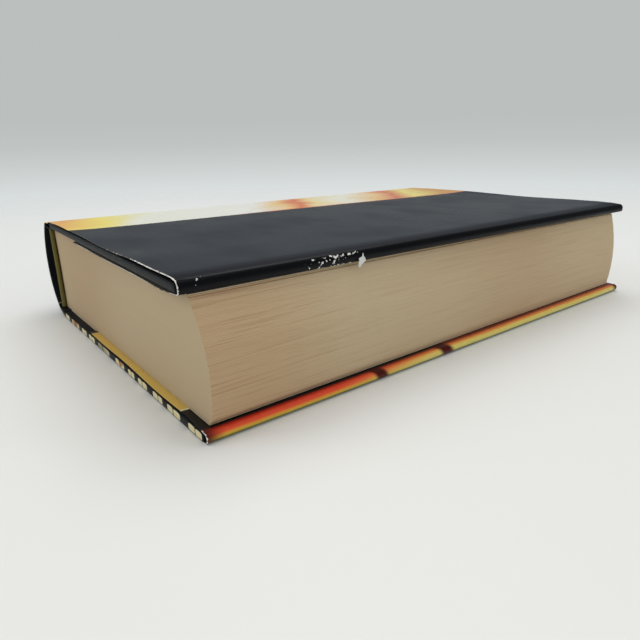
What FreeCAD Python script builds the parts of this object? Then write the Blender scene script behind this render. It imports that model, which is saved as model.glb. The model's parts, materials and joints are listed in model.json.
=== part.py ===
import FreeCAD, Part
import math
import os

# A thick hardback book lying on its back cover, in millimetres, +Z up.
# +X points from the spine to the fore-edge and +Y from the tail of the book to its head.
# The origin is on the table, under the middle of the whole book.

# Leaves
leaf_width = 150.0
leaf_height = 234.0
block_thickness = 37.6
endpaper_thickness = 0.2

# Cocking of a read book: the upper leaves lie nearer to the spine and are turned a little
lean = 4.3
turn_deg = -0.9
fore_edge_swell = 1.6
stack_sections = 6

# Boards and the printed paper that covers them: they stand past the ends of the leaves
board_width = 143.8
board_overhang = 3.0
board_height = leaf_height + 2 * board_overhang
board_thickness = 2.3
case_paper = 0.2
turn_in = 15.0

# Endpapers and the open cloth that holds the leaves to the boards
pastedown_margin = 3.0
super_thickness = 0.4
super_end_margin = 15.0
super_length = leaf_height - 2 * super_end_margin
wing_width = 25.0
wing_thickness = 0.2
lining_thickness = 0.4
glue_layer = 0.1

# Dust jacket: it is as tall as the boards
jacket_paper = 0.2
jacket_height = board_height
flap_width = 106.0
fold_slack = 0.3

# Covers lie this far from the leaves
cover_clearance = 0.3

# Joint between each cover and the spine: the hinge line runs along the edge of the leaves
joint_width = 8.6
case_strip_reach = 7.6
jacket_strip_reach = 7.0
cover_start = 8.2

# Round spine: the card strip inside it stands away from the leaves
inlay_thickness = 0.8
shoulder_out = 2.0
shoulder_rise = 1.6
shoulder_top_rise = 1.2
crown_out = 10.1
crown_rise = 17.9
groove_out = 1.0
jacket_roll_out = 1.4
jacket_roll_drop = 1.0

# Head and tail bands
band_thickness = 0.4
band_tongue = 12.0
bead_height = 1.6
bead_overlap = 1.1

# Heights above the table, layer by layer
case_z = jacket_paper
board_z = case_z + case_paper
board_top_z = board_z + board_thickness
paste_z = board_top_z + case_paper
flap_z = paste_z + endpaper_thickness
cover_thickness = flap_z + jacket_paper
block_z = cover_thickness + cover_clearance
block_top_z = block_z + block_thickness
middle_z = block_z + block_thickness / 2

# Places along X, with the middle of the lowest leaf at zero until the book is centred
hinge_x = -leaf_width / 2
board_x = hinge_x + joint_width
board_end_x = board_x + board_width
fold_x = board_end_x + case_paper + fold_slack
turn_sine = math.sin(math.radians(turn_deg))

pieces = {}


def point(x, y, z):
    return FreeCAD.Vector(x, y, z)


def line(a, b):
    return Part.LineSegment(a, b).toShape()


def arc(a, middle, b):
    return Part.Arc(a, middle, b).toShape()


def box(x, y, z):
    """A block between pairs of low and high values."""
    corner = point(x[0], y[0], z[0])
    return Part.makeBox(x[1] - x[0], y[1] - y[0], z[1] - z[0], corner)


def both(half):
    return (-half, half)


def leaf_place(level):
    """Where a leaf lies: level is 0 at the lowest leaf and 1 at the highest."""
    swell = fore_edge_swell * 4 * level * (1 - level)
    turn = FreeCAD.Rotation(point(0, 0, 1), turn_deg * level ** 2)
    return FreeCAD.Placement(point(swell - lean * level ** 2, 0, 0), turn)


def stack(outline, z):
    """Sheets of one outline piled up between two heights, following the leaves."""
    wires = []
    for i in range(stack_sections):
        height = z[0] + (z[1] - z[0]) * i / (stack_sections - 1)
        place = leaf_place((height - block_z) / block_thickness)
        place.Base.z = height
        wire = Part.Wire(outline())
        wire.Placement = place
        wires.append(wire)
    return Part.makeLoft(wires, True, False)


def rectangle(x, y):
    """The outline of a sheet, as edges in the plane of the leaf."""
    a, b = point(x[0], y[0], 0), point(x[1], y[0], 0)
    c, d = point(x[1], y[1], 0), point(x[0], y[1], 0)
    return [line(a, b), line(b, c), line(c, d), line(d, a)]


def make_leaves():
    leaf_x = both(leaf_width / 2)
    leaf_y = both(leaf_height / 2)
    block_heights = (block_z + endpaper_thickness, block_top_z - endpaper_thickness)
    pieces["text_block"] = stack(lambda: rectangle(leaf_x, leaf_y), block_heights)
    back_heights = (block_z, block_heights[0])
    front_heights = (block_heights[1], block_top_z)
    pieces["back_free_endpaper"] = stack(lambda: rectangle(leaf_x, leaf_y), back_heights)
    pieces["front_free_endpaper"] = stack(lambda: rectangle(leaf_x, leaf_y), front_heights)


def make_back_linings():
    """Cloth and paper glued on the back of the leaves, between the two bands."""
    glued_y = both(super_length / 2)
    full_z = (block_z, block_top_z)
    super_end_x = hinge_x - glue_layer
    super_x = (super_end_x - super_thickness, super_end_x)
    lining_end_x = super_x[0] - glue_layer
    lining_x = (lining_end_x - lining_thickness, lining_end_x)
    pieces["spine_super"] = stack(lambda: rectangle(super_x, glued_y), full_z)
    pieces["spine_lining"] = stack(lambda: rectangle(lining_x, glued_y), full_z)


def band_outline(end):
    """A tongue glued on the back and a bead that stands over the end of the leaves."""
    edge_y = end * (leaf_height / 2 + glue_layer)
    glued_x = hinge_x - glue_layer
    back_x = glued_x - band_thickness
    tongue_y = edge_y - end * band_tongue
    bead_y = edge_y + end * bead_height
    bead_side_y = edge_y + end * bead_height / 2
    inner = point(hinge_x + bead_overlap, edge_y, 0)
    crest = point(hinge_x + (bead_overlap - band_thickness) / 2, bead_y, 0)
    side = point(back_x, bead_side_y, 0)
    corner = point(glued_x, edge_y, 0)
    low_in = point(glued_x, tongue_y, 0)
    low_out = point(back_x, tongue_y, 0)
    return [
        arc(inner, crest, side),
        line(side, low_out),
        line(low_out, low_in),
        line(low_in, corner),
        line(corner, inner),
    ]


def make_bands():
    full_z = (block_z, block_top_z)
    pieces["tail_band"] = stack(lambda: band_outline(-1), full_z)
    pieces["head_band"] = stack(lambda: band_outline(1), full_z)


def spine_point(x, z, end, half_height):
    """A point of the spine at one end of the book, moved as the leaves beside it are."""
    level = (z - block_z) / block_thickness
    held = min(max(level, 0), 1)
    moved_x = x - (lean + end * half_height * turn_sine) * held ** 2
    moved_y = end * half_height + hinge_x * turn_sine * level
    return point(moved_x, moved_y, z)


def spine_curve(offset):
    """Shoulder, crown and shoulder of a layer of the round spine, as places in X and Z."""
    slant = offset / math.sqrt(2)
    shoulder_x = hinge_x - shoulder_out - slant
    low = (shoulder_x, block_z + shoulder_rise - slant)
    crown = (hinge_x - crown_out - offset, block_z + crown_rise)
    high = (shoulder_x, block_top_z + shoulder_top_rise + slant)
    return low, crown, high


def spine_layer(inner, outer, low_strip, high_strip, half_height):
    """
    A sheet bent round the spine: inner and outer are its two faces' distances from the card's
    inside, and each strip gives the two faces' points from the shoulder to the sheet's end.
    """
    wires = []
    for end in (-1, 1):
        faces = []
        for face, offset in enumerate((inner, outer)):
            low, crown, high = spine_curve(offset)
            before = [spine_point(x, z, end, half_height) for x, z in reversed(low_strip[face])]
            after = [spine_point(x, z, end, half_height) for x, z in high_strip[face]]
            a, b, c = [spine_point(x, z, end, half_height) for x, z in (low, crown, high)]
            before.append(a)
            after.insert(0, c)
            faces.append((before, arc(a, b, c), after))
        edges = []
        for before, curve, after in faces:
            edges += [line(p, q) for p, q in zip(before, before[1:])]
            edges.append(curve)
            edges += [line(p, q) for p, q in zip(after, after[1:])]
        edges.append(line(faces[0][0][0], faces[1][0][0]))
        edges.append(line(faces[0][2][-1], faces[1][2][-1]))
        wires.append(Part.Wire(Part.__sortEdges__(edges)))
    return Part.makeLoft(wires, True, True)


def make_round_spine():
    case_outer = inlay_thickness + case_paper
    jacket_outer = case_outer + jacket_paper
    case_half = board_height / 2 + case_paper
    bare = ([], [])
    pieces["spine_inlay"] = spine_layer(0, inlay_thickness, bare, bare, board_height / 2)

    groove_x = hinge_x - groove_out
    case_end_x = hinge_x + case_strip_reach
    low_in = block_z - cover_clearance
    high_in = block_top_z + cover_clearance
    low_case = [[(groove_x, z), (case_end_x, z)] for z in (low_in, low_in - case_paper)]
    high_case = [[(groove_x, z), (case_end_x, z)] for z in (high_in, high_in + case_paper)]
    covering = spine_layer(inlay_thickness, case_outer, low_case, high_case, case_half)
    pieces["case_spine_covering"] = covering

    jacket_end_x = hinge_x + jacket_strip_reach
    roll_x = hinge_x - jacket_roll_out
    roll_z = block_z - jacket_roll_drop
    top_z = block_top_z + block_z
    low_jacket = [
        [(roll_x, roll_z), (jacket_end_x, jacket_paper)],
        [(roll_x, roll_z - jacket_paper), (jacket_end_x, 0)],
    ]
    high_jacket = [[(jacket_end_x, top_z - jacket_paper)], [(jacket_end_x, top_z)]]
    jacket = spine_layer(case_outer, jacket_outer, low_jacket, high_jacket, jacket_height / 2)
    pieces["jacket_spine"] = jacket


def make_board():
    x = (board_x, board_end_x)
    return box(x, both(board_height / 2), (board_z, board_top_z))


def make_covering(board):
    """Printed paper round a board, turned in over its inner face on three sides."""
    x = (board_x - case_paper, board_end_x + case_paper)
    wrapped = box(x, both(board_height / 2 + case_paper), (case_z, paste_z))
    open_x = (board_x - case_paper, board_end_x - turn_in)
    open_y = both(board_height / 2 - turn_in)
    opening = box(open_x, open_y, (board_top_z, paste_z))
    return wrapped.cut(board).cut(opening)


def make_wing():
    """The cloth's wing, glued on the board under the pastedown."""
    x = (board_x, board_x + wing_width)
    return box(x, both(super_length / 2), (board_top_z, board_top_z + wing_thickness))


def make_pastedown():
    """Endpaper glued down: it steps over the turn-ins and the cloth's wing."""
    sheet_x = (board_x, board_end_x - pastedown_margin)
    sheet_y = both(board_height / 2 - pastedown_margin)
    well_x = (board_x + wing_width, board_end_x - turn_in)
    well_y = both(board_height / 2 - turn_in)
    sheet = box(sheet_x, sheet_y, (paste_z, flap_z))
    floor = box(well_x, well_y, (board_top_z, paste_z))
    dip_x = (well_x[0] + endpaper_thickness, well_x[1] - endpaper_thickness)
    dip_y = both(well_y[1] - endpaper_thickness)
    dip = box(dip_x, dip_y, (board_top_z + endpaper_thickness, flap_z))
    return sheet.fuse(floor).cut(dip).removeSplitter()


def make_jacket_side():
    """The jacket's panel, its round fold past the board's fore-edge, and its flap."""
    start_x = hinge_x + cover_start
    flap_end_x = fold_x - flap_width
    high = cover_thickness
    outer_radius = high / 2
    inner_radius = outer_radius - jacket_paper
    outer_tip = point(fold_x + outer_radius, 0, outer_radius)
    inner_tip = point(fold_x + inner_radius, 0, outer_radius)
    a, b = point(start_x, 0, 0), point(fold_x, 0, 0)
    c, d = point(fold_x, 0, high), point(flap_end_x, 0, high)
    e = point(flap_end_x, 0, high - jacket_paper)
    f = point(fold_x, 0, high - jacket_paper)
    g, h = point(fold_x, 0, jacket_paper), point(start_x, 0, jacket_paper)
    edges = [
        line(a, b),
        arc(b, outer_tip, c),
        line(c, d),
        line(d, e),
        line(e, f),
        arc(f, inner_tip, g),
        line(g, h),
        line(h, a),
    ]
    face = Part.Face(Part.Wire(edges))
    sheet = face.extrude(point(0, jacket_height, 0))
    sheet.translate(point(0, -jacket_height / 2, 0))
    return sheet


def onto_front(shape):
    """A piece of the back cover, mirrored and laid on the uppermost leaf as the front's."""
    front = shape.mirror(point(0, 0, middle_z), point(0, 0, 1))
    front.Placement = leaf_place(1).multiply(front.Placement)
    return front


def make_covers():
    board = make_board()
    sides = {
        "board": board,
        "covering": make_covering(board),
        "super_wing": make_wing(),
        "pastedown": make_pastedown(),
        "jacket": make_jacket_side(),
    }
    for name, shape in sides.items():
        pieces["back_" + name] = shape
        pieces["front_" + name] = onto_front(shape)


def centre_book():
    """Moves every piece so that the origin is under the middle of the book."""
    whole = Part.makeCompound(list(pieces.values())).optimalBoundingBox(False, False)
    move = point(-(whole.XMin + whole.XMax) / 2, -(whole.YMin + whole.YMax) / 2, -whole.ZMin)
    for shape in pieces.values():
        shape.translate(move)
    return move


def report_hinges(move):
    front = leaf_place(1)
    low = point(hinge_x, 0, block_z) + move
    high = front.multVec(point(hinge_x, 0, block_top_z)) + move
    along = front.Rotation.multVec(point(0, 1, 0))
    print("back hinge", [round(v, 3) for v in low])
    print("front hinge", [round(v, 3) for v in high], "axis", [round(v, 6) for v in along])


make_leaves()
make_back_linings()
make_bands()
make_round_spine()
make_covers()
report_hinges(centre_book())

os.makedirs("parts", exist_ok=True)
for name, shape in pieces.items():
    solids = len(shape.Solids)
    print(f"{name}: solids {solids}, valid {shape.isValid()}, volume {shape.Volume:.1f} mm3")
    shape.exportStep(f"parts/{name}.step")
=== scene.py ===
import json
import math
import random

import bmesh
import bpy
from mathutils import Matrix, Vector, noise


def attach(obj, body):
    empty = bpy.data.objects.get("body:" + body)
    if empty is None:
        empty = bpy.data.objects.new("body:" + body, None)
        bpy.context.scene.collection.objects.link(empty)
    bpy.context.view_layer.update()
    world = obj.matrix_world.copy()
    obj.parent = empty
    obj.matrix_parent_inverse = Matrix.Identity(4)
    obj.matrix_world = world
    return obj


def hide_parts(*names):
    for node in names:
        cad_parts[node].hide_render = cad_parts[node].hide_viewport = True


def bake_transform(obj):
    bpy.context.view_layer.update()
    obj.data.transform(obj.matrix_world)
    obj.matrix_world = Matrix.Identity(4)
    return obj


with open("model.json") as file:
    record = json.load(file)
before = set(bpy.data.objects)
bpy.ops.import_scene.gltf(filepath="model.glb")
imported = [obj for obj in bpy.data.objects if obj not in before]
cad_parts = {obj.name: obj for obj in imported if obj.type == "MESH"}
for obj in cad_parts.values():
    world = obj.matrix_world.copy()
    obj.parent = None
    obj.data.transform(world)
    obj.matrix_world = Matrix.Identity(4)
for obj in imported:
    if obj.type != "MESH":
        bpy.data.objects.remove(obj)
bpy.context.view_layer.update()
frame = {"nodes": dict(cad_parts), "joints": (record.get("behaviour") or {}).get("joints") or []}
scene = bpy.context.scene

# A thick hardback book in a loose glossy jacket, lying on its back cover. Everything is in metres.
# A shape is drawn square, with the middle of the lowest leaf at zero along X, as the back cover's
# or for the whole height of the book, and then put where the cocked leaves hold it.

# Leaves
leaf_width = 0.150
leaf_height = 0.234
endpaper = 0.0002
lean = 0.0043
book_turn = math.radians(-0.9)
fore_edge_swell = 0.0016
near_end_push = 0.0022
near_end_swell = 0.0009
leaf_ridges = 188
ridge_seed = 4
ridge_depth = 0.00002
gather_depth = 0.00006
gap_depth = 0.0005
leaf_rim = 0.0004
cuts_along_leaf = 25
cuts_across_leaf = 9

# Covers, layer by layer from the table
joint_width = 0.0086
board_width = 0.1438
board_height = 0.240
paper = 0.0002
case_z = 0.0002
paste_z = 0.0029
flap_z = 0.0031
cover_thickness = 0.0033
turn_in = 0.015
case_rounding = 0.00045
case_rim = 0.0003
paste_margin = 0.003
wing_width = 0.025

# Dust jacket: it takes the lift's reach from its fold or joint to stand off the cover fully
flap_width = 0.106
fold_slack = 0.0003
fold_radius = cover_thickness / 2
fold_length = math.pi * fold_radius
fold_steps = 14
jacket_cuts = 59
front_flap_sag = 0.0012
back_flap_sag = 0.00025
lift_reach = 0.012

# Print: where the warm strip ends, the breaks in the fore-edge band and the dashes on the case
strip_end_x = -0.0255
strip_slant = 0.04
yellow_end_x = -0.0255
band_breaks = [(-0.052, 0.0038), (-0.0174, 0.0046)]
dash_start = -0.0432
dash_pitch = 0.0045
dash_group = 0.0135
dash_middle_z = 0.0015
dash_half_height = 0.00115

# Rubbed patch at the fore-edge: the middle and the reach along the sheet, then across it
dotted_lines = [(0.0010, 0.00055, -0.0655, 0.0125), (0.0044, 0.0005, -0.068, 0.013)]
rubbed_strokes = [(0.0032, 0.0022, -0.0712, 0.0006), (0.0022, 0.0020, -0.0665, 0.0008)]
speck_patches = [(0.0022, 0.0026, -0.0715, 0.013), (0.0012, 0.002, -0.115, 0.004)]

# Torn flake, and in its outline how far down it, the middle and the half of its width there
film = 0.00006
flake_y = -0.0577
flake_length = 0.0042
flake_curl = 0.0006
flake_cup = 0.0016
flake_outline = [
    (0.0, 0.0011, 0.0001), (0.24, 0.0008, 0.00035), (0.33, 0.0002, 0.0013), (0.55, 0.0003, 0.0014),
    (0.70, -0.0004, 0.0011), (0.86, -0.0011, 0.00055), (1.0, -0.0014, 0.0001),
]

# Where jacket and case sink into the joint: how far past the hinge, and how deep
front_groove = [
    (-0.0010, 0.00118), (0.0012, 0.00122), (0.0032, 0.00092), (0.0054, 0.00038), (0.0072, 0.00009),
    (0.0090, 0.0),
]
back_groove = [(-0.0014, 0.0024), (0.0070, 0.0)]
case_groove = [
    (-0.0010, 0.0031), (0.0066, 0.0031), (0.0080, 0.0026), (0.0083, 0.0006), (0.0090, case_z),
]

# How far the front's fold stands out past the edge of the board
front_fold_reach = 0.0012

# Where the front's jacket stands off the board: how far in from its fold, and how high
fold_crest = [
    (0.0, 0.0), (0.0012, 0.00055), (0.0040, 0.0009), (0.0080, 0.00085), (0.020, 0.00055),
    (0.045, 0.00025), (0.090, 0.0), (1.0, 0.0),
]

# Round spine: how far its inner face stands from the leaves
shoulder_out = 0.0020
shoulder_rise = 0.0016
shoulder_top_rise = 0.0012
crown_out = 0.0101
crown_rise = 0.0179
case_face = 0.0010
jacket_face = 0.0012
spine_steps = 40

# Where the jacket's sheet starts before the hinge, and where its close cuts past the hinge end
turn_start = 0.00285
turn_end = 0.0084

sides = {"front": True, "back": False}
joints = {joint["child"]: joint for joint in frame["joints"]}
back_hinge = Vector(joints["back_cover"]["pos_m"])
front_hinge = Vector(joints["front_cover"]["pos_m"])
block_z = back_hinge.z
block_top_z = front_hinge.z
block_thickness = block_top_z - block_z
middle_z = (block_z + block_top_z) / 2
fore_edge_x = leaf_width / 2
hinge_x = -fore_edge_x
leaf_end_y = leaf_height / 2
board_end_y = board_height / 2
case_end_y = board_end_y + paper
leaf_middle = Vector((back_hinge.x - hinge_x, back_hinge.y, 0))
board_x = hinge_x + joint_width
board_end_x = board_x + board_width
fold_x = board_end_x + paper + fold_slack
flap_end_x = fold_x - flap_width
band_start = fold_length + 0.0020
bead_radius = 0.00105
crease_angle = math.radians(35)
tiny = 1e-6


# Shapes

def line_start(bm, x, z):
    return bm.verts.new((x, 0, z))


def straight(bm, end, x, z):
    """Carries a line of edges on to a place in X and Z."""
    tip = bmesh.ops.extrude_vert_indiv(bm, verts=[end])["verts"][0]
    tip.co = (x, 0, z)
    return tip


def curved(bm, end, centre, turn, steps):
    """Carries a line of edges on along an arc round a centre in X and Z."""
    spun = bmesh.ops.spin(
        bm, geom=[end], cent=(centre[0], 0, centre[1]), axis=(0, 1, 0),
        dvec=(0, 0, 0), angle=turn, steps=steps, use_merge=False, use_duplicate=False,
    )
    return [v for v in spun["geom_last"] if isinstance(v, bmesh.types.BMVert)][0]


def pull_across(bm, half, cuts):
    """Makes a sheet of a line of edges, from one end of the book to the other."""
    bmesh.ops.translate(bm, verts=bm.verts, vec=(0, -half, 0))
    far = draw_out(bm, bm.edges[:])[1]
    bmesh.ops.translate(bm, verts=far, vec=(0, 2 * half, 0))
    cut_edges(bm, Vector((0, 1, 0)), cuts)


def draw_out(bm, edges):
    """Draws faces out of edges, and gives the edges and the points at their tips."""
    made = bmesh.ops.extrude_edge_only(bm, edges=edges)["geom"]
    tips = [v for v in made if isinstance(v, bmesh.types.BMVert)]
    new_edges = [e for e in made if isinstance(e, bmesh.types.BMEdge)]
    return [e for e in new_edges if all(v in tips for v in e.verts)], tips


def cut_edges(bm, direction, cuts):
    """Cuts each edge that runs along a direction into equal lengths."""
    along = []
    for edge in bm.edges:
        span = edge.verts[1].co - edge.verts[0].co
        if abs(span.normalized().dot(direction)) > 0.999:
            along.append(edge)
    bmesh.ops.subdivide_edges(bm, edges=along, cuts=cuts, use_grid_fill=True)


def cut_at(bm, places, axis=0):
    """Cuts a mesh by a plane square to an axis at each of some places."""
    normal = Vector((0, 0, 0))
    normal[axis] = 1
    for place in places:
        everything = bm.verts[:] + bm.edges[:] + bm.faces[:]
        bmesh.ops.bisect_plane(
            bm, geom=everything, dist=tiny, plane_co=normal * place, plane_no=normal,
        )


def steps_between(low, high, count):
    return [low + (high - low) * i / count for i in range(count + 1)]


def share_of(value, whole):
    return min(max(value / whole, 0), 1)


def eased(value, whole):
    """A share that starts and ends softly."""
    share = share_of(value, whole)
    return share * share * (3 - 2 * share)


def read_rows(rows, at):
    """The values at a place between two rows, of which the first number is the place."""
    for low, high in zip(rows, rows[1:]):
        if at <= high[0] + tiny:
            break
    share = (at - low[0]) / (high[0] - low[0])
    return [a + (b - a) * share for a, b in zip(low[1:], high[1:])]


def soften(bm, picked, width, segments):
    bmesh.ops.bevel(
        bm, geom=picked, offset=width, offset_type="OFFSET", affect="EDGES",
        segments=segments, profile=0.5, material=-1, clamp_overlap=True,
    )


def sharp_edges(bm, degrees):
    least = math.radians(degrees)
    return [e for e in bm.edges if len(e.link_faces) == 2 and e.calc_face_angle(0) > least]


def face_towards(bm, direction):
    """Turns a sheet round, if its outermost face in a direction looks the other way."""
    outermost = max(bm.faces, key=lambda f: f.calc_center_median().dot(direction))
    outermost.normal_update()
    if outermost.normal.dot(direction) < 0:
        bmesh.ops.reverse_faces(bm, faces=bm.faces[:])


def note(bm, name, measure):
    """Keeps a measure of each point on the point, for the print and the wear to follow."""
    layer = bm.verts.layers.float.new(name)
    for v in bm.verts:
        v[layer] = measure(v.co)


def mirror_to_front(bm):
    bmesh.ops.scale(bm, verts=bm.verts, vec=(1, 1, -1))
    bmesh.ops.translate(bm, verts=bm.verts, vec=(0, 0, 2 * middle_z))
    bmesh.ops.reverse_faces(bm, faces=bm.faces[:])


def put_side_in_book(bm, front):
    if front:
        mirror_to_front(bm)
    put_in_book(bm)


def put_in_book(bm, swell=0.0):
    """Moves a shape that is drawn square to where the cocked, turned leaves hold it."""
    for v in bm.verts:
        level = share_of(v.co.z - block_z, block_thickness)
        bulge = swell * 4 * level * (1 - level)
        shift = Vector((bulge - lean * level ** 2, 0, 0))
        turned = Matrix.Rotation(book_turn * level ** 2, 3, "Z") @ v.co
        v.co = turned + shift + leaf_middle


def from_mesh(name, bm, finishes, smooth=True):
    mesh = bpy.data.meshes.new(name)
    bm.to_mesh(mesh)
    bm.free()
    for finish in finishes:
        mesh.materials.append(finish)
    piece = bpy.data.objects.new(name, mesh)
    scene.collection.objects.link(piece)
    if smooth:
        mesh.shade_smooth()
        mesh.set_sharp_from_angle(angle=crease_angle)
    return piece


def thickened(name, bm, wall, finishes, rim=1):
    """A sheet with its wall on the inner side: finishes are the print's, then the bare paper's."""
    piece = from_mesh(name, bm, finishes)
    modifier = piece.modifiers.new("wall", "SOLIDIFY")
    modifier.thickness = wall
    modifier.offset = -1
    modifier.use_even_offset = True
    modifier.material_offset = 1
    modifier.material_offset_rim = rim
    graph = bpy.context.evaluated_depsgraph_get()
    finished = bpy.data.meshes.new_from_object(piece.evaluated_get(graph))
    piece.modifiers.clear()
    piece.data = finished
    finished.set_sharp_from_angle(angle=crease_angle)
    return piece


# Finishes

def colour(red, green, blue):
    """A colour written as it looks on screen, from 0 to 255, as the shader takes it."""
    parts = []
    for part in (red, green, blue):
        share = part / 255
        parts.append(share / 12.92 if share <= 0.04045 else ((share + 0.055) / 1.055) ** 2.4)
    return (*parts, 1)


class Nodes:
    """A pattern that is built up node by node."""

    def __init__(self, tree):
        self.tree = tree

    def add(self, kind, values, **settings):
        node = self.tree.nodes.new(kind)
        for key, value in settings.items():
            setattr(node, key, value)
        for socket, value in values.items():
            if isinstance(value, bpy.types.NodeSocket):
                self.tree.links.new(value, node.inputs[socket])
            else:
                node.inputs[socket].default_value = value
        return node

    def place(self):
        return self.add("ShaderNodeTexCoord", {}).outputs["Object"]

    def noted(self, name):
        return self.add("ShaderNodeAttribute", {}, attribute_name=name).outputs["Fac"]

    def apart(self, vector):
        """The three parts of a place."""
        return self.add("ShaderNodeSeparateXYZ", {"Vector": vector}).outputs

    def stretched(self, vector, scale):
        values = {"Vector": vector, "Scale": scale}
        return self.add("ShaderNodeMapping", values).outputs["Vector"]

    def joined(self, x, y, z=0.0):
        return self.add("ShaderNodeCombineXYZ", {"X": x, "Y": y, "Z": z}).outputs["Vector"]

    def cloud(self, vector, scale, detail=2.0, roughness=0.5):
        values = {"Vector": vector, "Scale": scale, "Detail": detail, "Roughness": roughness}
        return self.add("ShaderNodeTexNoise", values).outputs["Fac"]

    def speckle(self, scale, detail, roughness=0.5):
        return self.cloud(self.place(), scale, detail, roughness)

    def waver(self, vector, scale, detail):
        """A cloud that goes as far below nothing as above it."""
        return self.minus(self.cloud(vector, scale, detail), 0.5)

    def work(self, operation, a, b=0.0):
        return self.add("ShaderNodeMath", {0: a, 1: b}, operation=operation).outputs["Value"]

    def plus(self, a, b):
        return self.work("ADD", a, b)

    def minus(self, a, b):
        return self.work("SUBTRACT", a, b)

    def size_of(self, value):
        return self.work("ABSOLUTE", value)

    def fade(self, value, low, high, start=0.0, end=1.0):
        """A smooth change from start to end as the value goes from low to high."""
        values = {"Value": value, "From Min": low, "From Max": high, "To Min": start, "To Max": end}
        node = self.add("ShaderNodeMapRange", values, interpolation_type="SMOOTHSTEP")
        return node.outputs["Result"]

    def mix(self, factor, a, b):
        node = self.add("ShaderNodeMix", {0: factor, 6: a, 7: b}, data_type="RGBA")
        return node.outputs[2]

    def ramp(self, value, stops):
        """Stops are rows of a position and a colour's three parts."""
        node = self.add("ShaderNodeValToRGB", {"Fac": value})
        elements = node.color_ramp.elements
        while len(elements) < len(stops):
            elements.new(0.5)
        for element, (position, *parts) in zip(elements, stops):
            element.position = position
            element.color = colour(*parts)
        return node.outputs["Color"]

    def near(self, value, centre, reach):
        """One at a place and nothing past a reach from it."""
        away = self.size_of(self.minus(value, centre))
        return self.fade(away, reach * 0.4, reach, 1.0, 0.0)

    def patches(self, along, across, rows):
        """One inside any of some patches: the middle and the reach along, then across."""
        inside = []
        for middle, reach, middle_across, reach_across in rows:
            here = self.near(along, middle, reach)
            inside.append(self.both(here, self.near(across, middle_across, reach_across)))
        return self.either(*inside)

    def either(self, *parts):
        """The largest of several shares."""
        most = parts[0]
        for part in parts[1:]:
            most = self.work("MAXIMUM", most, part)
        return most

    def both(self, *parts):
        product = parts[0]
        for part in parts[1:]:
            product = self.work("MULTIPLY", product, part)
        return product


class Finish(Nodes):
    """A material with its pattern."""

    def __init__(self, name, roughness, specular=0.5):
        self.material = bpy.data.materials.new(name)
        self.material.use_nodes = True
        super().__init__(self.material.node_tree)
        self.surface = self.tree.nodes["Principled BSDF"]
        self.surface.inputs["Roughness"].default_value = roughness
        self.surface.inputs["Specular IOR Level"].default_value = specular

    def bump(self, height, distance, strength=1.0):
        values = {"Height": height, "Distance": distance, "Strength": strength}
        self.set("Normal", self.add("ShaderNodeBump", values).outputs["Normal"])

    def paint(self, base):
        self.set("Base Color", base)

    def set(self, socket, value):
        self.tree.links.new(value, self.surface.inputs[socket])


page_tan = colour(182, 159, 127)
page_gold = colour(189, 171, 139)
page_rosy = colour(184, 153, 118)
page_shade = colour(152, 120, 88)
print_black = colour(7, 8, 11)
print_black_worn = colour(12, 13, 17)
cream = colour(224, 214, 170)
paper_white = colour(226, 224, 216)

# Lines on the edges of the leaves: their scale along X, Y and Z, and how strong they are
leaf_lines = (16, 34, 2000)
gather_lines = (7, 9, 420)
thumbed_strength = 0.30
fore_edge_strength = 0.12
least_strength = 0.05


def page_finish():
    """Cut edges of many leaves: fine level lines, stronger where thumbs have turned the leaves."""
    finish = Finish("leaf_edges", roughness=0.8, specular=0.2)
    place = finish.place()
    fore_edge = finish.noted("fore_edge")
    near_end = finish.fade(finish.apart(place)["Y"], -0.112, -0.06, 1.0, 0.0)
    thumbed = finish.both(fore_edge, near_end)
    drift = finish.cloud(place, 9, 1)
    lines = finish.cloud(finish.stretched(place, leaf_lines), 1)
    gathers = finish.cloud(finish.stretched(place, gather_lines), 1)
    tan = finish.mix(finish.fade(drift, 0.3, 0.7), page_tan, page_gold)
    tan = finish.mix(finish.both(thumbed, 0.7), tan, page_rosy)
    strength = finish.plus(finish.both(thumbed, thumbed_strength), least_strength)
    strength = finish.plus(strength, finish.both(fore_edge, fore_edge_strength))
    fine = finish.both(finish.fade(lines, 0.28, 0.52, 1.0, 0.0), strength)
    broad = finish.both(finish.fade(gathers, 0.3, 0.46, 1.0, 0.0), strength, 0.4)
    finish.paint(finish.mix(finish.either(fine, broad), tan, page_shade))
    finish.bump(lines, 0.00006, 0.3)
    return finish.material


def sheet_finish(name, base, spread, shaded_ends=False):
    """Plain uncoated paper with faint fibres and a soft change of tone; with shaded_ends, painted
    shade darkens it near the book's ends.
    """
    finish = Finish(name, roughness=0.7, specular=0.3)
    place = finish.place()
    darker = tuple(part * (1 - spread) for part in base[:3]) + (1,)
    tone = finish.mix(finish.cloud(place, 35, 3), darker, base)
    if shaded_ends:
        # Painted shade: the paper is darkened near both ends of the book, for the shadow in the gap
        # between the flap and the board.
        away = finish.size_of(finish.noted("across"))
        ends = finish.fade(away, board_end_y - 0.0045, board_end_y - 0.0025)
        tone = finish.mix(ends, tone, colour(84, 80, 72))
    finish.paint(tone)
    finish.bump(finish.cloud(place, 2500, 2), 0.00002, 0.4)
    return finish.material


def gloss(finish, waves, dulled=0.0):
    """Slight waves and faint rubbing of a glossy film, which is duller where it is handled."""
    place = finish.place()
    rubbed = finish.cloud(finish.stretched(place, (30, 44, 30)), 1, 2, 0.6)
    roughness = finish.fade(rubbed, 0.35, 0.75, 0.27, 0.32)
    finish.set("Roughness", finish.plus(roughness, finish.both(dulled, 0.12)))
    finish.bump(finish.cloud(place, 30, 0), waves, 0.35)


def worn_through(finish, base, places, beneath):
    """Where the film and the ink are rubbed off, the pale paper shows."""
    grains = finish.speckle(1500, 3, 0.7)
    worn = finish.fade(finish.both(grains, places), 0.40, 0.47)
    return finish.mix(worn, base, beneath)


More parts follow.
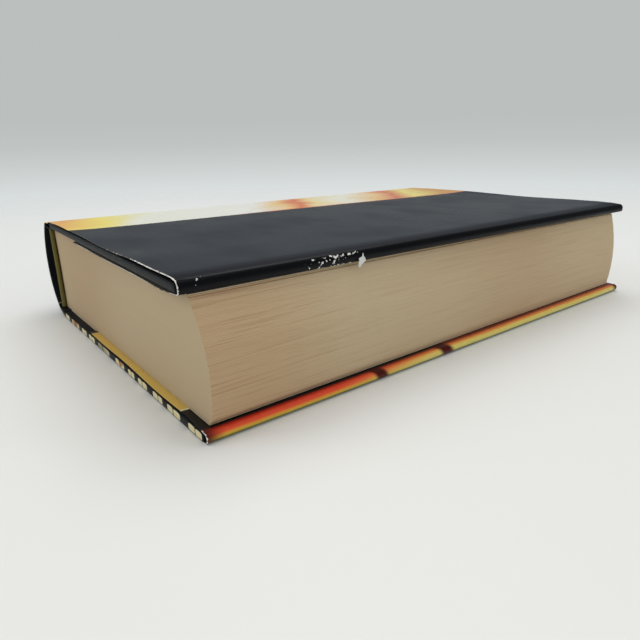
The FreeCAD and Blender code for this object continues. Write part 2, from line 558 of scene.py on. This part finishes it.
def end_wear(finish, across, most):
    """The sheet is rubbed pale at its very ends, here more and there less."""
    away = finish.size_of(across)
    rim = finish.fade(away, board_end_y - 0.0009, board_end_y - 0.0001, 0.0, 0.96)
    patches = finish.fade(finish.speckle(60, 2), 0.4, 0.62, 0.7, 1.0)
    return finish.both(rim, patches, most)


# Colour stops: position, then red, green and blue
strip_stops = [
    (0.0, 226, 168, 84), (0.045, 232, 196, 96), (0.09, 236, 218, 106), (0.135, 232, 222, 144),
    (0.19, 228, 229, 214), (0.42, 228, 229, 220), (0.50, 228, 192, 128), (0.54, 214, 112, 66),
    (0.58, 228, 208, 146), (0.68, 226, 226, 208), (0.79, 226, 188, 126), (0.84, 206, 116, 76),
    (0.90, 228, 216, 124), (1.0, 200, 150, 84),
]
# The band's stops are darker at both ends as painted shade: near-black at the top, in the gap at
# the foot of the leaves, and dark olive at the bottom, where the fold meets the table.
near_band_and_shade_stops = [
    (0.0, 14, 10, 10), (0.08, 40, 14, 12), (0.17, 150, 34, 24), (0.28, 206, 54, 36),
    (0.54, 220, 84, 48), (0.64, 216, 150, 60), (0.72, 200, 172, 66), (0.79, 138, 128, 38),
    (0.90, 84, 84, 24), (1.0, 40, 44, 16),
]
far_band_and_shade_stops = [
    (0.0, 60, 30, 20), (0.10, 130, 58, 34), (0.24, 204, 96, 50), (0.40, 214, 142, 66),
    (0.52, 214, 190, 100), (0.72, 206, 198, 112), (0.83, 132, 134, 56), (0.92, 60, 64, 26),
    (1.0, 20, 22, 12),
]


def warm_strip(finish, along, across):
    """A band of warm colours that run into each other, at the spine side of the cover."""
    drift = finish.waver(finish.joined(along, across), 28, 2)
    slanted = finish.plus(across, finish.both(along, 0.5))
    share = finish.plus(finish.both(slanted, 1 / board_height), 0.78)
    shifted = finish.plus(share, finish.both(drift, 0.16))
    return finish.ramp(shifted, strip_stops)


def front_print():
    """Near-black film with a warm strip at the spine side."""
    finish = Finish("jacket_front_print", roughness=0.28, specular=0.16)
    along, across = finish.noted("along"), finish.noted("across")
    edge = finish.waver(finish.joined(along, across), 160, 3)
    straight_end = finish.minus(along, finish.both(across, strip_slant))
    past = finish.plus(straight_end, finish.both(edge, 0.0018))
    past = finish.minus(past, strip_end_x - fold_x)
    colours = warm_strip(finish, along, across)
    glow = finish.both(finish.fade(past, -0.0022, -0.0002), finish.fade(across, -0.06, -0.02))
    colours = finish.mix(glow, colours, colour(196, 104, 74))
    black = finish.mix(finish.speckle(16, 2), print_black, print_black_worn)
    base = finish.mix(finish.fade(past, -0.0003, 0.0007), colours, black)
    panel_wear = finish.fade(along, -0.08, -0.001, 0.6, 1.5)
    flap_wear = finish.fade(along, fold_length, fold_length + 0.004, 1.0, 0.78)
    ends = end_wear(finish, across, finish.both(panel_wear, flap_wear))
    places = finish.either(ends, scuffs(finish, along, across))
    finish.paint(worn_through(finish, base, places, paper_white))
    gloss(finish, 0.0001, finish.near(along, 0.0, 0.009))
    return finish.material


def scuffs(finish, along, across):
    """A rubbed patch at the fore-edge: two dotted lines, two short strokes across, and specks."""
    wobble = finish.waver(finish.joined(along, across), 560, 3)
    height = finish.plus(along, finish.both(wobble, 0.0026))
    level = finish.plus(across, finish.both(wobble, 0.0020))
    leaning = finish.plus(level, finish.both(along, 0.8))
    broken = finish.fade(finish.cloud(finish.joined(0.0, across), 700, 1), 0.42, 0.52)
    lines = finish.both(finish.patches(height, across, dotted_lines), broken)
    strokes = finish.patches(along, leaning, rubbed_strokes)
    scattered = finish.fade(finish.speckle(950, 1), 0.62, 0.68, 0.0, 0.97)
    specks = finish.both(scattered, finish.patches(along, across, speck_patches))
    return finish.either(finish.both(finish.either(lines, strokes), 0.98), specks)


def back_print():
    """The back's print: warm band round the fore-edge, yellow flap, near-black panel, with painted
    shade at the band's ends and a painted highlight where the yellow starts.
    """
    finish = Finish("jacket_back_print", roughness=0.3, specular=0.2)
    along, across = finish.noted("along"), finish.noted("across")
    share = finish.work("DIVIDE", finish.minus(band_start, along), band_start - 0.0004)
    drift = finish.waver(finish.joined(0.0, across), 30, 2)
    share = finish.plus(share, finish.both(drift, 0.12))
    far = finish.fade(across, -0.075, -0.02)
    # Both ends of these ramps carry painted shade.
    band = finish.mix(far, finish.ramp(share, near_band_and_shade_stops), finish.ramp(share, far_band_and_shade_stops))
    leaning = finish.plus(across, finish.both(along, 0.5))
    breaks = [finish.near(leaning, at, reach) for at, reach in band_breaks]
    near_end = finish.fade(across, -0.1205, -0.1135, 1.0, 0.0)
    far_end = finish.fade(across, 0.114, 0.119)
    band = finish.mix(finish.either(near_end, far_end, *breaks), band, colour(72, 16, 14))
    face = finish.mix(finish.fade(along, -0.03, -0.0012), print_black, band)
    flap_start = fold_length + 0.0155
    flap_end = fold_length + fold_x - yellow_end_x
    tone = finish.speckle(20, 2)
    yellow = finish.mix(tone, colour(206, 170, 84), colour(222, 190, 100))
    past_band = finish.fade(along, band_start + 0.003, band_start + 0.006, 1.0, 0.0)
    run_on = finish.both(finish.fade(across, -0.022, -0.014), past_band)
    dark = finish.mix(run_on, print_black, colour(112, 46, 30))
    flap = finish.mix(finish.fade(along, flap_start, flap_start + 0.0004), dark, yellow)
    flap = finish.mix(finish.fade(along, flap_end, flap_end + 0.0004), flap, print_black)
    # Painted highlight: a thin cream line stands for the lit edge of the yellow panel where it lies
    # on the black.
    flap = finish.mix(finish.near(along, flap_start + 0.0005, 0.0006), flap, cream)
    base = finish.mix(finish.fade(along, band_start - 0.0002, band_start), face, flap)
    before_flap = finish.fade(along, fold_length + 0.001, fold_length + 0.004, 1.0, 0.0)
    ends = end_wear(finish, across, finish.both(before_flap, finish.fade(along, -0.003, 0.0), 1.4))
    finish.paint(worn_through(finish, base, ends, paper_white))
    gloss(finish, 0.0001)
    return finish.material


def spine_print():
    """Near-black, with the warm strip coming round from the front cover."""
    finish = Finish("jacket_spine_print", roughness=0.28, specular=0.3)
    rise, across = finish.noted("along"), finish.noted("across")
    top = block_thickness + shoulder_top_rise + jacket_face / math.sqrt(2)
    along = finish.plus(rise, hinge_x - turn_start - fold_x - top)
    colours = warm_strip(finish, along, across)
    drift = finish.waver(finish.joined(along, across), 34, 3)
    lower = finish.plus(rise, finish.both(drift, 0.008))
    wraps = finish.fade(lower, top - 0.0046, top - 0.0034)
    base = finish.mix(wraps, print_black, colours)
    ends = end_wear(finish, across, 0.6)
    finish.paint(worn_through(finish, base, ends, paper_white))
    gloss(finish, 0.00012)
    return finish.material


def case_print(name, dashed):
    """The case's own print: near-black, on one board with cream dashes along its edges."""
    finish = Finish(name, roughness=0.5, specular=0.14)
    base = finish.mix(finish.speckle(30, 2), colour(16, 18, 22), colour(26, 29, 34))
    if dashed:
        base = finish.mix(edge_dashes(finish), base, warm_dashes(finish))
    rubbed = finish.fade(finish.speckle(900, 3), 0.64, 0.74, 0.0, 0.7)
    rubbed = finish.both(rubbed, finish.noted("edge"))
    finish.paint(finish.mix(rubbed, base, colour(120, 112, 96)))
    finish.bump(finish.speckle(700, 2), 0.00003, 0.5)
    return finish.material


def warm_dashes(finish):
    """Cream, and here and there amber."""
    amber = finish.fade(finish.speckle(60, 1), 0.62, 0.66)
    return finish.mix(amber, cream, colour(172, 122, 78))


def edge_dashes(finish):
    """Rounded dashes in uneven groups along the edge of a board, from one corner on."""
    run = finish.plus(finish.noted("along"), finish.noted("across"))
    run = finish.minus(dash_start, run)
    past_corner = finish.fade(finish.size_of(run), 0.006, 0.03)
    uneven = finish.waver(finish.joined(run, 0.0), 24, 1)
    run = finish.plus(run, finish.both(uneven, past_corner, 0.03))
    across_dash = finish.size_of(finish.work("SINE", finish.both(run, math.pi / dash_pitch)))
    height = finish.minus(finish.noted("height"), dash_middle_z)
    rise = finish.size_of(finish.both(height, 1 / dash_half_height))
    corner = finish.work("POWER", rise, 10.0)
    dash = finish.fade(finish.minus(across_dash, finish.both(corner, 0.8)), 0.12, 0.2)
    turn = finish.minus(finish.both(run, math.tau / dash_group), math.pi / 6)
    grouped = finish.fade(finish.work("SINE", turn), -0.6, -0.5)
    bare = finish.fade(finish.cloud(finish.joined(run, 3.0), 20, 1), 0.5, 0.56)
    printed = finish.minus(1.0, finish.both(bare, past_corner))
    return finish.both(dash, grouped, printed, finish.noted("edge"))


def woven(name, base, count, lift):
    """Threads over and under: count is threads in a metre."""
    finish = Finish(name, roughness=0.85, specular=0.2)
    waves = []
    for direction in "ZY":
        values = {"Vector": finish.place(), "Scale": count * math.tau / 20}
        node = finish.add("ShaderNodeTexWave", values, bands_direction=direction)
        waves.append(node.outputs["Fac"])
    threads = finish.both(*waves)
    darker = tuple(part * 0.55 for part in base[:3]) + (1,)
    finish.paint(finish.mix(threads, darker, base))
    finish.bump(threads, lift, 0.8)
    return finish.material


def board_finish():
    """Grey pulp board with darker and lighter fibres."""
    finish = Finish("grey_board", roughness=0.9, specular=0.2)
    flecks = finish.speckle(1800, 4, 0.8)
    greys = [(0.3, 96, 92, 84), (0.7, 146, 140, 128)]
    finish.paint(finish.ramp(flecks, greys))
    finish.bump(flecks, 0.00005, 0.6)
    return finish.material


finishes = {
    "leaves": page_finish(),
    "endpaper": sheet_finish("endpaper_stock", colour(206, 192, 162), 0.06),
    "front": front_print(),
    "back": back_print(),
    "spine": spine_print(),
    "jacket_inside": sheet_finish("jacket_inside", paper_white, 0.05, shaded_ends=True),
    "film": sheet_finish("torn_film", colour(214, 213, 210), 0.10),
    "front_case": case_print("plain_case_print", False),
    "back_case": case_print("dashed_case_print", True),
    "case_inside": sheet_finish("case_paper_back", colour(216, 210, 196), 0.05),
    "mull": woven("mull_cloth", colour(206, 200, 184), 1200, 0.0001),
    "kraft": sheet_finish("kraft_lining", colour(168, 130, 88), 0.12),
    "card": sheet_finish("spine_card", colour(170, 158, 136), 0.1),
    "band": woven("band_cloth", colour(136, 126, 70), 1600, 0.0001),
    "board": board_finish(),
}


# Pieces

def stand_out(v, ridge_stands, share, ridges):
    """How far a leaf's edge stands out: leaf by leaf, gather by gather, and along the leaf."""
    ridge = round(share * ridges)
    gather = noise.noise(Vector((share * 24, 0.3, v.co.y * 5)))
    sway = noise.noise(Vector((ridge * 0.9, v.co.y * 25, v.co.x * 25)))
    near = 1 + max(0, -v.co.y / leaf_height - 0.2) * 2
    gap = gap_depth if 0 < ridges - ridge < 4 < ridges else 0
    return near * (ridge_depth * (ridge_stands[ridge] + sway) + gather_depth * gather) - gap


def pushed_out(level, y):
    """How much further than the rest the leaves stand out at the near end of the fore-edge."""
    low_part = 0.25 + 0.75 * eased(level, 0.07)
    high_part = 1 + 0.42 * eased(level - 0.22, 0.38)
    near = share_of(0.45 - y / leaf_height, 0.95)
    round_part = near_end_swell * 4 * level * (1 - level)
    return (near_end_push * low_part * high_part + round_part) * near ** 1.5


def make_leaf_stack(name, node, z, ridges, finish):
    """Leaves between two heights: each ridge of the cut edges stands out or in a little."""
    bm = bmesh.new()
    height = z[1] - z[0]
    bmesh.ops.create_cube(bm, size=1)
    bmesh.ops.scale(bm, verts=bm.verts, vec=(leaf_width, leaf_height, height))
    bmesh.ops.translate(bm, verts=bm.verts, vec=(0, 0, z[0] + height / 2))
    cut_edges(bm, Vector((0, 0, 1)), ridges - 1)
    cut_edges(bm, Vector((0, 1, 0)), cuts_along_leaf)
    cut_edges(bm, Vector((1, 0, 0)), cuts_across_leaf)
    cut_at(bm, [fore_edge_x - leaf_rim])
    note(bm, "fore_edge", lambda co: float(co.x > fore_edge_x - tiny))
    draw = random.Random(ridge_seed)
    stands = [draw.gauss(0, 1) for _ in range(ridges + 1)]
    for v in bm.verts:
        out = stand_out(v, stands, (v.co.z - z[0]) / height, ridges)
        push = pushed_out((v.co.z - block_z) / block_thickness, v.co.y)
        if abs(v.co.y) > leaf_end_y - tiny:
            v.co.y += math.copysign(out * 0.25, v.co.y)
        fore_edge = v.co.x > fore_edge_x - tiny
        v.co.x += push * (0.5 + v.co.x / leaf_width)
        if fore_edge:
            v.co.x += out
    put_in_book(bm, fore_edge_swell)
    piece = from_mesh(name, bm, [finishes[finish]], smooth=False)
    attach(piece, "leaves_and_spine")
    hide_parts(node)


def make_leaves():
    block = (block_z + endpaper, block_top_z - endpaper)
    make_leaf_stack("leaves", "text_block", block, leaf_ridges, "leaves")
    loose = {"back_free": (block_z, block[0]), "front_free": (block[1], block_top_z)}
    for name, z in loose.items():
        make_leaf_stack(name + "_leaf", name + "_endpaper", z, 1, "endpaper")


def spine_end_z(front, face):
    """Where a layer of the round spine ends, with the front one mirrored to the back."""
    slant = face / math.sqrt(2)
    if front:
        return block_z - shoulder_top_rise - slant
    return block_z + shoulder_rise - slant


def make_jacket_side(name, front):
    """The jacket's panel, its round fold past the board's fore-edge, and its flap."""
    bm = bmesh.new()
    end = line_start(bm, hinge_x - turn_start, spine_end_z(front, jacket_face))
    for x, z in front_groove if front else back_groove:
        end = straight(bm, end, hinge_x + x, z)
    end = straight(bm, end, fold_x, 0)
    end = curved(bm, end, (fold_x, fold_radius), -math.pi, fold_steps)
    straight(bm, end, flap_end_x, cover_thickness)
    pull_across(bm, board_end_y, jacket_cuts)
    face_towards(bm, Vector((0, 0, -1)))
    joint_end_x = hinge_x + turn_end + 0.001
    near_fold_x = fold_x - 0.006
    cut_at(bm, steps_between(hinge_x - turn_start, joint_end_x, 15)[1:])
    cut_at(bm, steps_between(joint_end_x, near_fold_x, 22)[1:])
    cut_at(bm, steps_between(near_fold_x, fold_x, 8)[1:-1])

    def round_fold(co):
        if co.x > fold_x:
            return fold_radius * math.atan2(co.x - fold_x, fold_radius - co.z)
        if co.z > fold_radius and co.x > flap_end_x - tiny:
            return math.pi * fold_radius + fold_x - co.x
        return co.x - fold_x

    note(bm, "along", round_fold)
    note(bm, "across", lambda co: co.y)
    for v in bm.verts:
        if on_flap(v):
            sag_flap(v, front_flap_sag if front else back_flap_sag)
        elif front:
            lift_jacket(v)
            shape_fold(v)
    put_side_in_book(bm, front)
    prints = [finishes["front" if front else "back"], finishes["jacket_inside"]]
    return thickened(name, bm, paper, prints, rim=0)


def on_flap(v):
    return v.co.z > fold_radius and flap_end_x - tiny < v.co.x < fold_x + tiny


def sag_flap(v, most):
    """Past the ends of the leaves the flap hangs off the board, unevenly."""
    clear_y = leaf_end_y + 0.0002
    past = max(0, abs(v.co.y) - clear_y) / (board_end_y - clear_y)
    inward = share_of(fold_x - v.co.x, lift_reach)
    ripple = noise.noise(Vector((v.co.x * 34, v.co.y * 9, 5.0)))
    v.co.z += most * past * inward * (0.8 + 0.7 * ripple)
    v.co.y -= math.copysign(0.0003 * past * inward * (1 + 2 * ripple), v.co.y)


def lift_jacket(v):
    """The loose jacket stands off the cover in shallow waves, most at its ends."""
    start_x = hinge_x + lift_reach
    if v.co.z < fold_radius and start_x < v.co.x:
        inward = share_of(min(v.co.x - start_x, fold_x + fold_radius - v.co.x), lift_reach)
        to_end = abs(v.co.y) / board_end_y
        ripple = noise.noise(Vector((v.co.x * 26, v.co.y * 9, 2.0)))
        at_end = 0.0009 * to_end ** 12 * (0.35 + ripple)
        v.co.z -= inward * (0.00010 * (1 + ripple) + max(at_end, 0))


def shape_fold(v):
    """The front's fold is soft above, where it stands off the board, and square below."""
    level = min(abs(v.co.z - fold_radius) / fold_radius, 1)
    if v.co.x > fold_x:
        squareness = 3 if v.co.z > fold_radius else 2
        v.co.x = fold_x + front_fold_reach * (1 - level ** squareness) ** (1 / squareness)
    if v.co.z < fold_radius:
        inward = max(fold_x + front_fold_reach - v.co.x, 0)
        near = 0.6 + 0.4 * share_of(-v.co.y, 0.1)
        v.co.z -= read_rows(fold_crest, inward)[0] * level * near


def bend_at_hinge(piece):
    """Bakes the piece's placing into its mesh."""
    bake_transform(piece)


def spine_line(bm, face, steps):
    """The round back from its low shoulder to its high one, at a distance from the card."""
    slant = face / math.sqrt(2)
    shoulder_x = hinge_x - shoulder_out - slant
    low = Vector((shoulder_x, block_z + shoulder_rise - slant))
    crown = Vector((hinge_x - crown_out - face, block_z + crown_rise))
    high = Vector((shoulder_x, block_top_z + shoulder_top_rise + slant))
    a, b, c = low, crown, high
    scale = 2 * (a.x * (b.y - c.y) + b.x * (c.y - a.y) + c.x * (a.y - b.y))
    squares = [p.length_squared for p in (a, b, c)]
    x = (squares[0] * (b.y - c.y) + squares[1] * (c.y - a.y) + squares[2] * (a.y - b.y)) / scale
    z = (squares[0] * (c.x - b.x) + squares[1] * (a.x - c.x) + squares[2] * (b.x - a.x)) / scale
    centre = Vector((x, z))
    turn = (low - centre).angle(high - centre)
    curved(bm, line_start(bm, low.x, low.y), centre, turn, steps)
    return centre


def make_jacket_spine():
    bm = bmesh.new()
    spine_line(bm, jacket_face, spine_steps)
    pull_across(bm, board_end_y, jacket_cuts)
    face_towards(bm, Vector((-1, 0, 0)))
    note(bm, "along", lambda co: co.z - block_z)
    note(bm, "across", lambda co: co.y)
    put_in_book(bm)
    prints = [finishes["spine"], finishes["jacket_inside"]]
    piece = thickened("spine_jacket", bm, paper, prints, rim=0)
    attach(piece, "leaves_and_spine")
    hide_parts("jacket_spine")


def make_jacket():
    for side, front in sides.items():
        piece = make_jacket_side(side + "_jacket_sheet", front)
        bend_at_hinge(piece)
        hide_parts(side + "_jacket")
    make_jacket_spine()


def make_case_side(side, front):
    """Printed paper round a board, turned in over its inner face on three sides."""
    bm = bmesh.new()
    low_x, high_x = board_x - paper, board_end_x + paper
    bmesh.ops.create_cube(bm, size=1)
    bmesh.ops.scale(bm, verts=bm.verts, vec=(high_x - low_x, 2 * case_end_y, paste_z - case_z))
    centre = ((low_x + high_x) / 2, 0, (paste_z + case_z) / 2)
    bmesh.ops.translate(bm, verts=bm.verts, vec=centre)
    soften(bm, sharp_edges(bm, 30), case_rounding, 3)
    open_x, open_y = board_end_x - turn_in, board_end_y - turn_in
    cut_at(bm, [open_x])
    cut_at(bm, [-open_y, open_y], axis=1)
    inner = []
    for face in bm.faces:
        middle = face.calc_center_median()
        level = middle.z > paste_z - tiny
        if level and middle.x < open_x and abs(middle.y) < open_y:
            inner.append(face)
    bmesh.ops.delete(bm, geom=inner, context="FACES")
    cut_at(bm, steps_between(low_x, high_x, 60)[1:-1])
    note(bm, "along", lambda co: co.x)
    note(bm, "across", lambda co: co.y)
    note(bm, "height", lambda co: co.z)
    side_x, side_y = high_x - case_rim, case_end_y - case_rim
    note(bm, "edge", lambda co: float(abs(co.y) > side_y or co.x > side_x))
    put_side_in_book(bm, front)
    prints = [finishes[side + "_case"], finishes["case_inside"]]
    piece = thickened(side + "_case_paper", bm, paper * 0.9, prints)
    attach(piece, side + "_cover")
    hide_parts(side + "_covering")


def make_case_joint(side, front):
    """The case's paper from the spine, pressed into the groove, to the edge of the board."""
    bm = bmesh.new()
    slant = case_face / math.sqrt(2)
    end = line_start(bm, hinge_x - shoulder_out - slant, spine_end_z(front, case_face))
    for x, z in case_groove:
        end = straight(bm, end, hinge_x + x, z)
    pull_across(bm, case_end_y, 1)
    face_towards(bm, Vector((0, 0, -1)))
    cut_at(bm, steps_between(hinge_x - 0.0027, hinge_x + 0.0088, 14))
    note(bm, "edge", lambda co: 0.0)
    put_side_in_book(bm, front)
    piece = thickened(side + "_case_joint", bm, paper, [finishes["front_case"]] * 2)
    bend_at_hinge(piece)
    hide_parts(side + "_covering")


def fold_in(bm, end_y, centre, depth, reach):
    """Folds one end of the spine's paper over the card inside it."""
    rim = [e for e in bm.edges if all(abs(v.co.y - end_y) < tiny for v in e.verts)]
    rim, tips = draw_out(bm, rim)
    for v in tips:
        to_centre = Vector((centre.x - v.co.x, 0, centre.y - v.co.z))
        v.co += to_centre.normalized() * depth
    for v in draw_out(bm, rim)[1]:
        v.co.y -= math.copysign(reach, end_y)


def make_case_spine():
    """The case's paper round the spine's card, turned in over it at both ends."""
    bm = bmesh.new()
    centre = spine_line(bm, case_face, spine_steps)
    pull_across(bm, case_end_y, 5)
    for end_y in (-case_end_y, case_end_y):
        fold_in(bm, end_y, centre, case_face + paper, turn_in)
    face_towards(bm, Vector((-1, 0, 0)))
    note(bm, "edge", lambda co: 0.0)
    put_in_book(bm)
    prints = [finishes["front_case"], finishes["case_inside"]]
    piece = thickened("spine_case_paper", bm, paper, prints)
    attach(piece, "leaves_and_spine")
    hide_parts("case_spine_covering")


def make_spine_card():
    """The card that keeps the case's spine round, inside its paper."""
    bm = bmesh.new()
    card = case_face - paper
    spine_line(bm, card, spine_steps)
    pull_across(bm, board_end_y, 5)
    face_towards(bm, Vector((-1, 0, 0)))
    put_in_book(bm)
    piece = thickened("spine_card", bm, card, [finishes["card"]] * 2)
    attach(piece, "leaves_and_spine")
    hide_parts("spine_inlay")


def make_case():
    for side, front in sides.items():
        make_case_side(side, front)
        make_case_joint(side, front)
    make_case_spine()
    make_spine_card()


def make_endpaper_sheet(side, front):
    """The glued-down endpaper, which steps over the turn-ins and crosses to the leaves."""
    bm = bmesh.new()
    end = line_start(bm, board_end_x - paste_margin, flap_z)
    end = straight(bm, end, board_x, flap_z)
    inner_x = hinge_x + 0.0004
    straight(bm, end, inner_x, block_z - 0.00005)
    pull_across(bm, board_end_y - paste_margin, 1)
    face_towards(bm, Vector((0, 0, 1)))
    well_x = (board_x + wing_width, board_end_x - turn_in)
    well_y = board_end_y - turn_in
    well_depth = 0.00019
    slope = 0.0008
    cut_at(bm, steps_between(inner_x, board_x, 10)[1:-1])
    cut_at(bm, steps_between(well_x[0], well_x[0] + slope, 3))
    cut_at(bm, steps_between(well_x[1] - slope, well_x[1], 3))
    cut_at(bm, steps_between(well_y - slope, well_y, 3), axis=1)
    cut_at(bm, steps_between(-well_y, slope - well_y, 3), axis=1)
    for v in bm.verts:
        inside = min(v.co.x - well_x[0], well_x[1] - v.co.x, well_y - abs(v.co.y))
        v.co.z -= well_depth * eased(inside, slope)
    put_side_in_book(bm, front)
    piece = thickened(side + "_endpaper_sheet", bm, paper * 0.9, [finishes["endpaper"]] * 2)
    bend_at_hinge(piece)
    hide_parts(side + "_pastedown")


def make_band(name, end):
    """A sewn band at one end of the back of the leaves: a ribbed bead and its tongue."""
    bm = bmesh.new()
    ribs = 54
    tongue_length = 0.012
    edge_y = end * (leaf_end_y + 0.0001)
    centre_x, centre_y = hinge_x + 0.0002, edge_y + end * bead_radius
    ring = bmesh.ops.create_circle(bm, cap_ends=False, segments=12, radius=bead_radius)["verts"]
    bmesh.ops.translate(bm, verts=ring, vec=(centre_x, centre_y, block_z))
    rise = block_thickness / ribs
    loop = bm.edges[:]
    for _ in range(ribs * 2):
        loop, tips = draw_out(bm, loop)
        bmesh.ops.translate(bm, verts=tips, vec=(0, 0, rise / 2))
    for v in bm.verts:
        share = (v.co.z - block_z) / rise
        swell = 0.9 + 0.12 * abs(math.sin(math.pi * share))
        centre = Vector((centre_x, centre_y, v.co.z))
        v.co = centre + (v.co - centre) * swell
    bmesh.ops.holes_fill(bm, edges=bm.edges[:], sides=0)
    bmesh.ops.recalc_face_normals(bm, faces=bm.faces)
    tongue = bmesh.ops.create_cube(bm, size=1)["verts"]
    bmesh.ops.scale(bm, verts=tongue, vec=(0.0004, tongue_length, block_thickness))
    tongue_y = edge_y - end * tongue_length / 2
    bmesh.ops.translate(bm, verts=tongue, vec=(hinge_x - 0.0003, tongue_y, middle_z))
    cut_at(bm, steps_between(block_z, block_top_z, 12)[1:-1], axis=2)
    put_in_book(bm)
    piece = from_mesh(name + "_sewn", bm, [finishes["band"]])
    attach(piece, "leaves_and_spine")
    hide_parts(name)


def dress_hidden_pieces():
    """CAD nodes whose shape is right get their finish."""
    kept = {
        "spine_super": "mull", "back_super_wing": "mull", "front_super_wing": "mull",
        "spine_lining": "kraft", "back_board": "board", "front_board": "board",
    }
    for name, finish in kept.items():
        mesh = frame["nodes"][name].data
        mesh.materials.clear()
        mesh.materials.append(finishes[finish])


def make_torn_flake():
    """A scrap of the jacket's film, torn loose at the rubbed patch and hanging by its thin tip."""
    bm = bmesh.new()
    bmesh.ops.create_grid(bm, x_segments=6, y_segments=24, size=0.5)
    for v in bm.verts:
        down = 0.5 - v.co.y
        middle, half_width = read_rows(flake_outline, down)
        curl = flake_curl * math.sin(2.2 * down) + flake_cup * v.co.x ** 2 * down
        v.co = Vector((curl, middle + 2 * v.co.x * half_width, -flake_length * down))
    hold_x = fold_x + front_fold_reach - 0.0001
    hold_z = 2 * middle_z - fold_radius + 0.0010
    bmesh.ops.translate(bm, verts=bm.verts, vec=(hold_x, flake_y, hold_z))
    put_in_book(bm)
    piece = thickened("torn_flake", bm, film, [finishes["film"]] * 2)
    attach(piece, "front_cover")


# Stage

# The camera's yaw, pitch and roll are in degrees, its lens and sensor in millimetres
camera_place = (0.2046, -0.17397, 0.0795)
camera_turns = (52.19, 18.71, -0.94)
lens_length = 30.22
sensor_width = 36

# Lamps: place, what it points at, size, power in watts, and whether the gloss mirrors it
lamps = {
    "overhead": ((-0.25, 0.25, 1.1), (0, 0, 0.02), 1.1, 7.0, True),
    "front_left": ((-0.55, -0.9, 0.7), (0, 0, 0.02), 0.7, 2.2, True),
    "far_right": ((0.95, 1.0, 0.35), (0.07, 0.1, 0.02), 0.5, 3.0, False),
}
room_light = 0.62
behind_book = (-0.79, 0.61, 0.0)
floor_radius = 1.6
floor_fade_start = 0.16
floor_fade_end = 0.8
backdrop_stops = [
    (0.0, 230, 232, 229), (0.22, 226, 230, 228), (0.35, 221, 225, 224), (0.55, 216, 221, 221),
    (0.64, 204, 209, 208), (0.73, 192, 196, 195), (0.83, 187, 191, 190),
]


def make_floor():
    """A pale table top that fades into the backdrop far behind the book."""
    finish = Finish("pale_table", roughness=0.55, specular=0.3)
    place = finish.place()
    tone = finish.cloud(place, 5, 2)
    finish.paint(finish.mix(tone, colour(224, 225, 221), colour(229, 230, 227)))
    distance = finish.add("ShaderNodeVectorMath", {0: place}, operation="LENGTH").outputs["Value"]
    clear = finish.add("ShaderNodeBsdfTransparent", {}).outputs["BSDF"]
    fading = finish.fade(distance, floor_fade_start, floor_fade_end)
    values = {0: fading, 1: finish.surface.outputs["BSDF"], 2: clear}
    blend = finish.add("ShaderNodeMixShader", values).outputs["Shader"]
    finish.tree.links.new(blend, finish.tree.nodes["Material Output"].inputs["Surface"])
    bm = bmesh.new()
    bmesh.ops.create_circle(bm, cap_ends=True, segments=96, radius=floor_radius)
    floor = from_mesh("table_top", bm, [finish.material], smooth=False)


def make_backdrop():
    """A soft grey backdrop. Reflections see it behind the book only, dimmer the higher it is."""
    world = bpy.data.worlds.new("studio")
    world.use_nodes = True
    scene.world = world
    world.node_tree.nodes.clear()
    sky = Nodes(world.node_tree)
    where = sky.add("ShaderNodeTexCoord", {}).outputs["Generated"]
    height = sky.apart(where)["Z"]
    backdrop = sky.ramp(sky.work("DIVIDE", sky.plus(height, 0.3), 0.4), backdrop_stops)
    dimmer = sky.mix(sky.fade(height, 0.0, 0.27), backdrop, colour(102, 110, 123))
    values = {0: where, 1: behind_book}
    behind = sky.add("ShaderNodeVectorMath", values, operation="DOT_PRODUCT").outputs["Value"]
    room = sky.mix(sky.fade(behind, 0.5, 0.85), colour(92, 95, 98), dimmer)
    seen = sky.add("ShaderNodeBackground", {"Color": backdrop}).outputs["Background"]
    mirrored = sky.add("ShaderNodeBackground", {"Color": room}).outputs["Background"]
    light = sky.add("ShaderNodeBackground", {"Color": (1, 1, 1, 1), "Strength": room_light})
    path = sky.add("ShaderNodeLightPath", {}).outputs
    glossy = sky.either(path["Is Glossy Ray"], path["Is Transmission Ray"])
    values = {0: glossy, 1: light.outputs["Background"], 2: mirrored}
    unseen = sky.add("ShaderNodeMixShader", values).outputs["Shader"]
    values = {0: path["Is Camera Ray"], 1: unseen, 2: seen}
    both = sky.add("ShaderNodeMixShader", values).outputs["Shader"]
    sky.add("ShaderNodeOutputWorld", {"Surface": both})


def make_lamp(name, place, target, size, power, mirrored):
    lamp = bpy.data.lights.new(name, "AREA")
    lamp.shape = "DISK"
    lamp.size = size
    lamp.energy = power
    holder = bpy.data.objects.new(name, lamp)
    scene.collection.objects.link(holder)
    holder.location = place
    away = Vector(place) - Vector(target)
    holder.rotation_euler = away.to_track_quat("Z", "Y").to_euler()
    holder.visible_glossy = mirrored


def make_camera():
    lens = bpy.data.cameras.new("photo_view")
    lens.sensor_width = sensor_width
    lens.lens = lens_length
    lens.clip_start = 0.01
    camera = bpy.data.objects.new("photo_view", lens)
    scene.collection.objects.link(camera)
    yaw, pitch, roll = (math.radians(angle) for angle in camera_turns)
    turn = Matrix.Rotation(yaw, 4, "Z") @ Matrix.Rotation(math.pi / 2 - pitch, 4, "X")
    turn = turn @ Matrix.Rotation(roll, 4, "Z")
    camera.matrix_world = Matrix.Translation(camera_place) @ turn
    scene.camera = camera


make_camera()
make_leaves()
make_jacket()
make_case()
for side, front in sides.items():
    make_endpaper_sheet(side, front)
make_band("head_band", 1)
make_band("tail_band", -1)
make_torn_flake()
dress_hidden_pieces()
make_floor()
make_backdrop()
for name, lamp in lamps.items():
    make_lamp(name, *lamp)
scene.view_settings.view_transform = "Standard"
